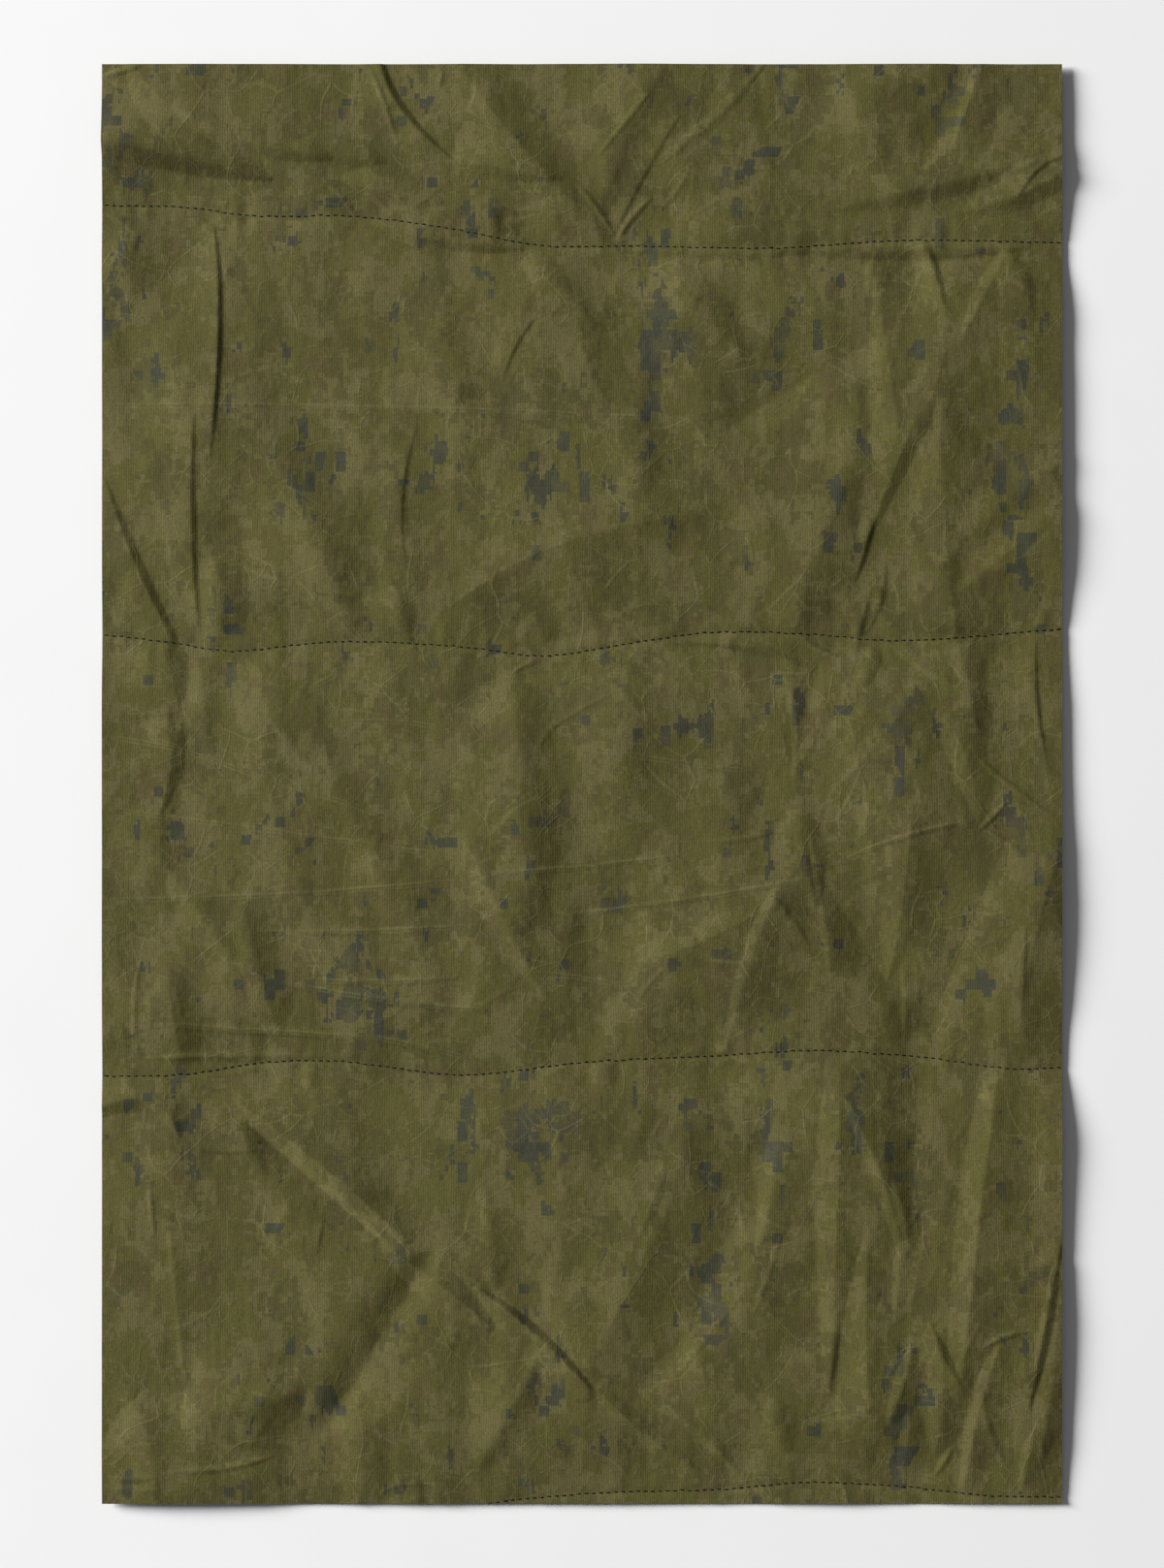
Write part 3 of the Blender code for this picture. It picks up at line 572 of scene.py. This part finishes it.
def corner_normals(mesh, heights):
    """A direction for each corner of the sheet's triangles, as smooth as the folds are.

    It is read a little inside the triangle, so that a crease between two triangles stays sharp.
    """
    points = np.zeros(len(mesh.vertices) * 3, np.float32)
    mesh.vertices.foreach_get("co", points)
    corners = np.zeros(len(mesh.loops), np.int32)
    mesh.loops.foreach_get("vertex_index", corners)
    flat_normals = np.zeros(len(mesh.polygons) * 3, np.float32)
    mesh.polygons.foreach_get("normal", flat_normals)
    flat_normals = flat_normals.reshape(-1, 1, 3)
    corner_points = points.reshape(-1, 3)[corners].reshape(-1, 3, 3) / MM
    inward = corner_points.mean(axis=1, keepdims=True) - corner_points
    reach = np.linalg.norm(inward, axis=2, keepdims=True)
    read_at = corner_points + inward * np.minimum(NORMAL_INSET / np.maximum(reach, 1e-6), 0.5)
    across = read_at[:, :, 0] + WIDTH / 2
    down = LENGTH / 2 - read_at[:, :, 1]
    rows, columns = heights.shape
    slope_down, slope_across = np.gradient(heights, LENGTH / (rows - 1), WIDTH / (columns - 1))
    normals = np.dstack([-sampled(slope_across, across, down), sampled(slope_down, across, down),
                         np.ones(across.shape)])
    normals /= np.linalg.norm(normals, axis=2, keepdims=True)
    facing = flat_normals[:, :, 2:]
    normals = np.where(facing > RIM_FACING, normals, np.where(facing < -RIM_FACING, -normals, flat_normals))
    return normals.reshape(-1, 3)


def build_cloth(heights):
    """The closed sheet: the folded surface as its underside, and the same surface one thickness higher."""
    mesh = thinned(folded_surface(heights))
    bm = bmesh.new()
    bm.from_mesh(mesh)
    straighten_rim(bm)
    upper = bmesh.ops.extrude_face_region(bm, geom=list(bm.faces))["geom"]
    lifted = [item for item in upper if isinstance(item, bmesh.types.BMVert)]
    bmesh.ops.translate(bm, vec=(0.0, 0.0, CLOTH_THICKNESS * MM), verts=lifted)
    bmesh.ops.triangulate(bm, faces=[face for face in bm.faces if len(face.verts) > 3])
    bmesh.ops.recalc_face_normals(bm, faces=bm.faces)
    for face in bm.faces:
        face.smooth = True
        face.material_index = 1 if face.normal.z < -RIM_FACING else 0
    bm.to_mesh(mesh)
    bm.free()
    mesh.name = "cloth_sheet"
    mesh.normals_split_custom_set(corner_normals(mesh, heights).tolist())
    return new_object("cloth_sheet", mesh)


# ----------------------------------------
# Stitches
# ----------------------------------------


def stitch_shape():
    """One stitch of thread along X, in millimetres: round in section, its ends turned down into the cloth."""
    bm = bmesh.new()
    bmesh.ops.create_uvsphere(bm, u_segments=STITCH_SIDES, v_segments=STITCH_SIDES, radius=1.0)
    bmesh.ops.rotate(bm, verts=bm.verts, matrix=Matrix.Rotation(math.pi / 2, 3, "Y"))
    for vert in bm.verts:
        reach = abs(vert.co.x)
        vert.co.x *= STITCH_LENGTH / 2
        vert.co.y *= THREAD_RADIUS
        vert.co.z = vert.co.z * THREAD_RADIUS - STITCH_DIP * reach ** 3
    mesh = bpy.data.meshes.new("stitch")
    bm.to_mesh(mesh)
    bm.free()
    return mesh


def build_stitches(name, points, heights, shape, rng):
    """One row of stitches as one mesh. Each lies along the row and follows the cloth's slope."""
    across = np.arange(0.5 * STITCH_PITCH, WIDTH - 0.5 * STITCH_PITCH, STITCH_PITCH)
    down = row_down(points, across)
    on_cloth = down < LENGTH - THREAD_RADIUS
    bm = bmesh.new()
    for x, y in zip(across[on_cloth], down[on_cloth]):
        ends = np.array([x - STITCH_FEEL, x + STITCH_FEEL])
        ends_down = row_down(points, ends)
        before, after = sampled(heights, ends, ends_down)
        lean = math.atan2(ends_down[0] - ends_down[1], 2 * STITCH_FEEL) + math.radians(rng.normal(0.0, STITCH_LEAN))
        tilt = math.atan2(before - after, 2 * STITCH_FEEL)
        place = Vector((x - WIDTH / 2, LENGTH / 2 - y + rng.normal(0.0, STITCH_WANDER),
                        (before + after) / 2 + CLOTH_THICKNESS + STITCH_STAND))
        size = Matrix.Diagonal((rng.uniform(*STITCH_LENGTHS), rng.uniform(*STITCH_WIDTHS), 1.0, 1.0))
        turn = Matrix.Rotation(lean, 4, "Z") @ Matrix.Rotation(tilt, 4, "Y")
        first = len(bm.verts)
        bm.from_mesh(shape)
        bm.verts.ensure_lookup_table()
        bmesh.ops.transform(bm, matrix=Matrix.Translation(place) @ turn @ size, verts=bm.verts[first:])
    bmesh.ops.scale(bm, vec=(MM, MM, MM), verts=bm.verts)
    mesh = bpy.data.meshes.new(name)
    bm.to_mesh(mesh)
    bm.free()
    mesh.shade_smooth()
    return new_object(name, mesh)


# ----------------------------------------
# Materials
# ----------------------------------------


def screen_colour(red, green, blue):
    """A colour as a screen shows it, with parts from 0 to 255, turned into the light that the shader works with."""
    return tuple((part / 255.0) ** 2.2 for part in (red, green, blue)) + (1.0,)


OLIVE = screen_colour(81, 75, 17)
GREEN_OLIVE = screen_colour(78, 75, 17)
KHAKI = screen_colour(93, 86, 44)
DARK_OLIVE = screen_colour(68, 63, 3)
BROWN = screen_colour(78, 67, 24)
BLUE_GREY = screen_colour(45, 49, 36)
WORN_PALE = screen_colour(117, 112, 70)
BACK_OLIVE = screen_colour(80, 76, 44)
THREAD = screen_colour(30, 27, 12)

# The print's areas, in the order in which they lie over each other: their paint and its share, the size of an area
# across and along the cloth, how ragged its edges are, the level of the noise that it starts at, and a seed.
Area = namedtuple("Area", "paint share wave ragged level seed")

PRINT = (
    Area(KHAKI, 0.68, (17.0, 26.0), 0.10, 0.52, 2.0),
    Area(DARK_OLIVE, 0.64, (20.0, 32.0), 0.10, 0.57, 3.0),
    Area(BROWN, 0.60, (13.0, 22.0), 0.12, 0.62, 4.0),
    Area(KHAKI, 0.60, (8.0, 11.0), 0.14, 0.64, 6.0),
)
PRINT_EDGE = 0.004  # range of the noise over which the edge of a printed area runs
STRING_LEVEL = 0.815  # of the noise that the dark strings of squares start at
STRING_SEED = 8.0

# How much each part of the weave and of the dye changes the cloth's tone.
# The ribs and threads are painted lighter on their tops and darker in the grooves between them: painted light and
# painted shade.
RIB_PAINTED_SHADING = 0.04
THREAD_PAINTED_SHADING = 0.02
STREAK_TONE = 0.06
MOTTLE_TONE = 0.28
GRAIN_TONE = 0.92

# Heights of the finish's relief, in millimetres.
HAIRLINE_RELIEF = 0.06
CRUMPLE_RELIEF = 0.5
RIB_RELIEF = 0.012
THREAD_RELIEF = 0.004
TWIST_RELIEF = 0.03

LEAST_ROUGHNESS = 0.86
ROUGHNESS_RANGE = 0.08
SPECULAR = 0.72


class Shader:
    """A material's node tree, with short ways to add nodes to it."""

    def __init__(self, name, roughness=LEAST_ROUGHNESS):
        self.material = bpy.data.materials.new(name)
        self.material.use_nodes = True
        self.tree = self.material.node_tree
        self.surface = self.tree.nodes["Principled BSDF"]
        self.surface.inputs["Roughness"].default_value = roughness

    def put(self, value, socket):
        """Link a node's output to the socket, or set the socket to a plain value."""
        if isinstance(value, bpy.types.NodeSocket):
            self.tree.links.new(value, socket)
        else:
            socket.default_value = value

    def math(self, operation, *values):
        node = self.tree.nodes.new("ShaderNodeMath")
        node.operation = operation
        for value, socket in zip(values, node.inputs):
            self.put(value, socket)
        return node.outputs[0]

    def vector(self, operation, *values):
        node = self.tree.nodes.new("ShaderNodeVectorMath")
        node.operation = operation
        for value, socket in zip(values, node.inputs):
            self.put(value, socket)
        return node.outputs[0]

    def place(self):
        """The place on the cloth, in millimetres, without its height."""
        node = self.tree.nodes.new("ShaderNodeTexCoord")
        return self.vector("MULTIPLY", node.outputs["Object"], (1.0 / MM, 1.0 / MM, 0.0))

    def split(self, place):
        """The parts of a place across and along the cloth."""
        node = self.tree.nodes.new("ShaderNodeSeparateXYZ")
        self.put(place, node.inputs[0])
        return node.outputs[0], node.outputs[1]

    def noise_node(self, place, wave, seed, detail):
        node = self.tree.nodes.new("ShaderNodeTexNoise")
        node.inputs["Scale"].default_value = 1.0
        node.inputs["Detail"].default_value = detail
        scaled = self.vector("DIVIDE", place, (wave[0], wave[1], 1.0))
        self.put(self.vector("ADD", scaled, (seed * 7.3, seed * 3.1, seed)), node.inputs["Vector"])
        return node

    def noise(self, place, wave, seed, detail=1.0):
        """Soft noise about 0.5, whose blobs have about the given widths across and along the cloth."""
        return self.noise_node(place, wave, seed, detail).outputs["Fac"]

    def warped(self, place, wave, amount, seed):
        """The place, shifted by up to about that amount along soft noise."""
        shift = self.vector("SUBTRACT", self.noise_node(place, (wave, wave), seed, 1.0).outputs["Color"], (0.5,) * 3)
        return self.vector("ADD", place, self.vector("MULTIPLY", shift, (2 * amount, 2 * amount, 0.0)))

    def snapped(self, place, across, along, shift=0.0):
        """The place of the block that it lies in, for blocks of that many print squares."""
        moved = self.vector("ADD", place, (shift, shift, 0.0))
        return self.vector("SNAP", moved, (across * PRINT_SQUARE, along * PRINT_SQUARE, 1.0))

    def speck(self, block, seed):
        """One random number from -0.5 to 0.5 for each block."""
        node = self.tree.nodes.new("ShaderNodeTexWhiteNoise")
        node.noise_dimensions = "4D"
        node.inputs["W"].default_value = seed
        self.put(block, node.inputs["Vector"])
        return self.math("SUBTRACT", node.outputs["Value"], 0.5)

    def step(self, value, low, high):
        """A smooth step from 0 to 1, as the value goes from low to high. Low may be the larger of the two."""
        node = self.tree.nodes.new("ShaderNodeMapRange")
        node.interpolation_type = "SMOOTHSTEP"
        node.inputs["From Min"].default_value = low
        node.inputs["From Max"].default_value = high
        self.put(value, node.inputs["Value"])
        return node.outputs["Result"]

    def mix(self, share, first, second):
        """A colour between the two, nearer the second the larger the share is."""
        node = self.tree.nodes.new("ShaderNodeMix")
        node.data_type = "RGBA"
        self.put(share, node.inputs[0])
        self.put(first, node.inputs[6])
        self.put(second, node.inputs[7])
        return node.outputs[2]

    def toned(self, colour, factor):
        """The colour, lighter or darker by that factor."""
        node = self.tree.nodes.new("ShaderNodeVectorMath")
        node.operation = "SCALE"
        self.put(colour, node.inputs[0])
        self.put(factor, node.inputs["Scale"])
        return node.outputs[0]

    def bump(self, height, distance, under=None):
        """A relief whose height of 1 stands that many millimetres, on top of another one."""
        node = self.tree.nodes.new("ShaderNodeBump")
        node.inputs["Distance"].default_value = distance * MM
        node.inputs["Strength"].default_value = 1.0
        self.put(height, node.inputs["Height"])
        if under is not None:
            self.put(under, node.inputs["Normal"])
        return node.outputs[0]


def patches(shader, place, area):
    """Areas of the print: 1 inside and 0 outside, with stepped edges and a few loose squares around them."""
    square = shader.snapped(place, 1, 1)
    block = shader.snapped(place, 2, 2, shift=area.seed * 1.7)
    field = shader.noise(square, area.wave, area.seed, detail=2.0)
    rough = shader.math("MULTIPLY_ADD", shader.speck(square, area.seed), 0.6, shader.speck(block, area.seed + 0.5))
    field = shader.math("MULTIPLY_ADD", rough, area.ragged, field)
    return shader.step(field, area.level, area.level + PRINT_EDGE)


def strings(shader, place):
    """The print's dark accents: solid blocks with smaller squares hanging from them, in a few long strings only."""
    level, seed = STRING_LEVEL, STRING_SEED
    square = shader.snapped(place, 1, 1)
    block = shader.snapped(place, 2, 2, shift=1.1)
    bar = shader.snapped(place, 1, 3, shift=2.9)
    where = shader.noise(place, (26.0, 58.0), seed + 3.0, detail=0.0)
    where = shader.math("MULTIPLY", shader.math("SUBTRACT", where, 0.5), 0.9)
    solid = shader.math("ADD", shader.noise(block, (9.0, 12.0), seed, detail=0.0), where)
    solid = shader.math("MULTIPLY_ADD", shader.speck(block, seed + 0.5), 0.10, solid)
    ragged = shader.math("ADD", shader.noise(square, (8.0, 15.0), seed + 1.0, detail=0.0), where)
    ragged = shader.math("MULTIPLY_ADD", shader.speck(bar, seed + 0.7), 0.16, ragged)
    ragged = shader.math("MULTIPLY_ADD", shader.speck(square, seed), 0.10, ragged)
    solid = shader.step(solid, level + 0.01, level + 0.01 + PRINT_EDGE)
    ragged = shader.step(ragged, level + 0.02, level + 0.02 + PRINT_EDGE)
    return shader.math("MAXIMUM", solid, ragged)


def weave(shader, place):
    """The cloth's ribs, which run along it, and the finer threads across them, from -1 to 1."""
    swayed = shader.warped(place, 22.0, 0.8, 5.0)
    across, along = shader.split(swayed)
    ribs = shader.math("SINE", shader.math("MULTIPLY", across, 2.0 * math.pi / RIB_PITCH))
    threads = shader.math("SINE", shader.math("MULTIPLY", along, 2.0 * math.pi / THREAD_PITCH))
    return ribs, threads


def hairlines(shader, place, cell, width, seed):
    """Fine broken lines of old pressed creases: 1 on a line and 0 off it."""
    node = shader.tree.nodes.new("ShaderNodeTexVoronoi")
    node.feature = "DISTANCE_TO_EDGE"
    node.inputs["Scale"].default_value = 1.0 / cell
    shader.put(shader.warped(place, 1.4 * cell, 0.5 * cell, seed), node.inputs["Vector"])
    near = shader.step(node.outputs["Distance"], width / cell, 0.0)
    shown = shader.step(shader.noise(place, (26.0, 26.0), seed + 9.0), 0.48, 0.62)
    return shader.math("MULTIPLY", near, shown)


def pressed_lines(shader, place):
    """The dye's wear along the creases that were once pressed in: two pale hairlines beside each of them."""
    swayed = shader.warped(place, 9.0, 0.5, 23.0)
    across, along = shader.split(swayed)
    total = 0.0
    for crease in PRESSED:
        ends = np.array([crease.start, crease.middle, crease.end], float)
        bend, lean, level = np.polyfit(ends[:, 0] - WIDTH / 2, LENGTH / 2 - ends[:, 1], 2)
        line = shader.math("MULTIPLY_ADD", shader.math("MULTIPLY_ADD", across, bend, lean), across, level)
        off = shader.math("ABSOLUTE", shader.math("SUBTRACT", along, line))
        beside = shader.math("ABSOLUTE", shader.math("SUBTRACT", off, PRESSED_GAP))
        on_line = shader.step(beside, PRESSED_WIDTH, 0.0)
        middle, half = (ends[0, 0] + ends[2, 0] - WIDTH) / 2, (ends[2, 0] - ends[0, 0]) / 2
        past = shader.math("ABSOLUTE", shader.math("SUBTRACT", across, middle))
        inside = shader.step(past, half, half - PRESSED_FADE)
        total = shader.math("MULTIPLY_ADD", on_line, inside, total)
    worn = shader.step(shader.noise(place, (14.0, 14.0), 24.0, detail=2.0), 0.30, 0.66)
    return shader.math("MULTIPLY", total, worn)


def woven_finish(shader, place, colour):
    """Give the shader its weave with painted light and shade, uneven dye, pressed lines and soft shine over a colour.
    """
    ribs, threads = weave(shader, place)
    streaks = shader.noise(place, (1.3, 42.0), 11.0, detail=2.0)
    mottle = shader.noise(place, (2.6, 3.4), 12.0, detail=2.0)
    grain = shader.noise(place, (0.75, 0.95), 15.0, detail=1.0)
    coarse = hairlines(shader, place, 26.0, 0.6, 21.0)
    fine = hairlines(shader, place, 11.0, 0.4, 22.0)
    creased = shader.math("MULTIPLY_ADD", fine, 0.8, coarse)
    lines = shader.math("MAXIMUM", creased, shader.math("MULTIPLY", pressed_lines(shader, place), 1.3))
    # Painted light on the ribs' and threads' tops and painted shade in their grooves, following the weave's relief.
    tone = shader.math("MULTIPLY_ADD", ribs, RIB_PAINTED_SHADING, 1.0)
    tone = shader.math("MULTIPLY_ADD", threads, THREAD_PAINTED_SHADING, tone)
    for unevenness, share in ((streaks, STREAK_TONE), (mottle, MOTTLE_TONE), (grain, GRAIN_TONE)):
        tone = shader.math("MULTIPLY_ADD", shader.math("SUBTRACT", unevenness, 0.5), share, tone)
    worn = shader.mix(shader.math("MULTIPLY", lines, 0.24), colour, WORN_PALE)
    shader.put(shader.toned(worn, tone), shader.surface.inputs["Base Color"])
    rough = shader.math("MULTIPLY_ADD", shader.noise(place, (8.0, 14.0), 13.0), ROUGHNESS_RANGE, LEAST_ROUGHNESS)
    shader.put(rough, shader.surface.inputs["Roughness"])
    relief = shader.bump(creased, HAIRLINE_RELIEF)
    relief = shader.bump(shader.noise(place, (7.0, 11.0), 14.0, detail=3.0), CRUMPLE_RELIEF, relief)
    woven = shader.math("MULTIPLY_ADD", threads, THREAD_RELIEF / RIB_RELIEF, ribs)
    relief = shader.bump(woven, RIB_RELIEF, relief)
    shader.put(relief, shader.surface.inputs["Normal"])
    shader.surface.inputs["Specular IOR Level"].default_value = SPECULAR


def printed_cloth():
    """The upper side: olive cloth with a plain digital camouflage print."""
    shader = Shader("printed_cloth")
    place = shader.place()
    colour = shader.mix(shader.noise(place, (60.0, 90.0), 1.0), OLIVE, GREEN_OLIVE)
    for area in PRINT:
        inside = patches(shader, place, area)
        colour = shader.mix(shader.math("MULTIPLY", inside, area.share), colour, area.paint)
    ink = shader.step(shader.noise(place, (16.0, 22.0), 9.0), 0.25, 0.60)
    ink = shader.math("MULTIPLY_ADD", ink, 0.45, 0.35)
    dark = shader.math("MULTIPLY", strings(shader, place), ink)
    colour = shader.mix(dark, colour, BLUE_GREY)
    woven_finish(shader, place, colour)
    return shader.material


def plain_underside():
    """The underside: the same cloth without its print."""
    shader = Shader("cloth_underside")
    woven_finish(shader, shader.place(), BACK_OLIVE)
    return shader.material


def thread_finish():
    """Dark twisted thread."""
    shader = Shader("thread", 0.75)
    place = shader.place()
    across, along = shader.split(place)
    slant = shader.math("ADD", across, along)
    twist = shader.math("SINE", shader.math("MULTIPLY", slant, 2.0 * math.pi / TWIST_PITCH))
    tone = shader.math("MULTIPLY_ADD", shader.noise(place, (3.0, 3.0), 31.0), 0.6, 0.7)
    shader.put(shader.toned(THREAD[:3], tone), shader.surface.inputs["Base Color"])
    shader.put(shader.bump(twist, TWIST_RELIEF), shader.surface.inputs["Normal"])
    return shader.material


# ----------------------------------------
# Light, floor and camera
# ----------------------------------------


def floor_finish():
    """A plain, nearly white floor."""
    shader = Shader("pale_floor", 0.9)
    grain = shader.noise(shader.place(), (40.0, 40.0), 41.0)
    first, second = ((shade, shade, shade, 1.0) for shade in FLOOR_SHADES)
    shader.put(shader.mix(grain, first, second), shader.surface.inputs["Base Color"])
    shader.surface.inputs["Specular IOR Level"].default_value = 0.2
    return shader.material


def build_floor():
    """The surface that the cloth lies on. It isn't part of the object."""
    bm = bmesh.new()
    bmesh.ops.create_grid(bm, x_segments=1, y_segments=1, size=FLOOR_SIZE / 2)
    bmesh.ops.translate(bm, vec=(0.0, 0.0, -FLOOR_GAP), verts=bm.verts)
    mesh = bpy.data.meshes.new("floor")
    bm.to_mesh(mesh)
    bm.free()
    mesh.materials.append(floor_finish())
    new_object("floor", mesh)


def build_key_light():
    """One broad soft light, low on the cloth's left, and far enough away to light the whole cloth evenly."""
    light = bpy.data.lights.new("key", "AREA")
    light.shape = "DISK"
    light.size = KEY_SIZE
    light.energy = KEY_POWER
    lamp = bpy.data.objects.new("key", light)
    bpy.context.scene.collection.objects.link(lamp)
    turn, lift = math.radians(KEY_AZIMUTH), math.radians(KEY_ELEVATION)
    source = Vector((math.cos(turn) * math.cos(lift), math.sin(turn) * math.cos(lift), math.sin(lift)))
    lamp.location = source * KEY_DISTANCE
    lamp.rotation_euler = source.to_track_quat("Z", "Y").to_euler()


def light_scene():
    """The key light, which alone makes the sheen, and a pale even surround that the camera sees as white."""
    build_key_light()
    world = bpy.data.worlds.new("studio")
    world.use_nodes = True
    nodes, links = world.node_tree.nodes, world.node_tree.links
    ray = nodes.new("ShaderNodeLightPath")
    seen = nodes.new("ShaderNodeMix")
    links.new(ray.outputs["Is Camera Ray"], seen.inputs[0])
    seen.inputs[2].default_value = FILL_STRENGTH
    seen.inputs[3].default_value = 1.0
    background = nodes["Background"]
    background.inputs["Color"].default_value = (1.0, 1.0, 1.0, 1.0)
    links.new(seen.outputs[0], background.inputs["Strength"])
    bpy.context.scene.world = world
    world.cycles_visibility.glossy = False
    bpy.context.scene.view_settings.view_transform = "Standard"


def place_camera():
    """Straight above the cloth, far enough away that a long lens takes in the photo's frame."""
    camera = bpy.data.cameras.new("camera")
    camera.lens = LENS
    camera.sensor_width = SENSOR
    camera.clip_start, camera.clip_end = CLIP
    eye = bpy.data.objects.new("camera", camera)
    bpy.context.scene.collection.objects.link(eye)
    frame_length = PHOTO_HEIGHT / PHOTO_SCALE * MM
    eye.location = (0.0, 0.0, frame_length * LENS / SENSOR + PUFF * MM)
    bpy.context.scene.camera = eye


# ----------------------------------------
# The whole scene
# ----------------------------------------


def build():
    """The cloth and its stitches on the floor, lit and framed as in the photo."""
    place_camera()
    light_scene()
    build_floor()
    heights = cloth_heights(Field())
    cloth = build_cloth(heights)
    cloth.data.materials.append(printed_cloth())
    cloth.data.materials.append(plain_underside())
    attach(cloth, "root")
    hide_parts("cloth")
    thread, shape = thread_finish(), stitch_shape()
    rng = np.random.default_rng(11)
    rows = [build_stitches(f"stitches_{name}_row", points, heights, shape, rng)
            for name, points in STITCHED_ROWS.items()]
    bpy.data.meshes.remove(shape)
    for row in rows:
        row.data.materials.append(thread)
        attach(row, "root")


build()
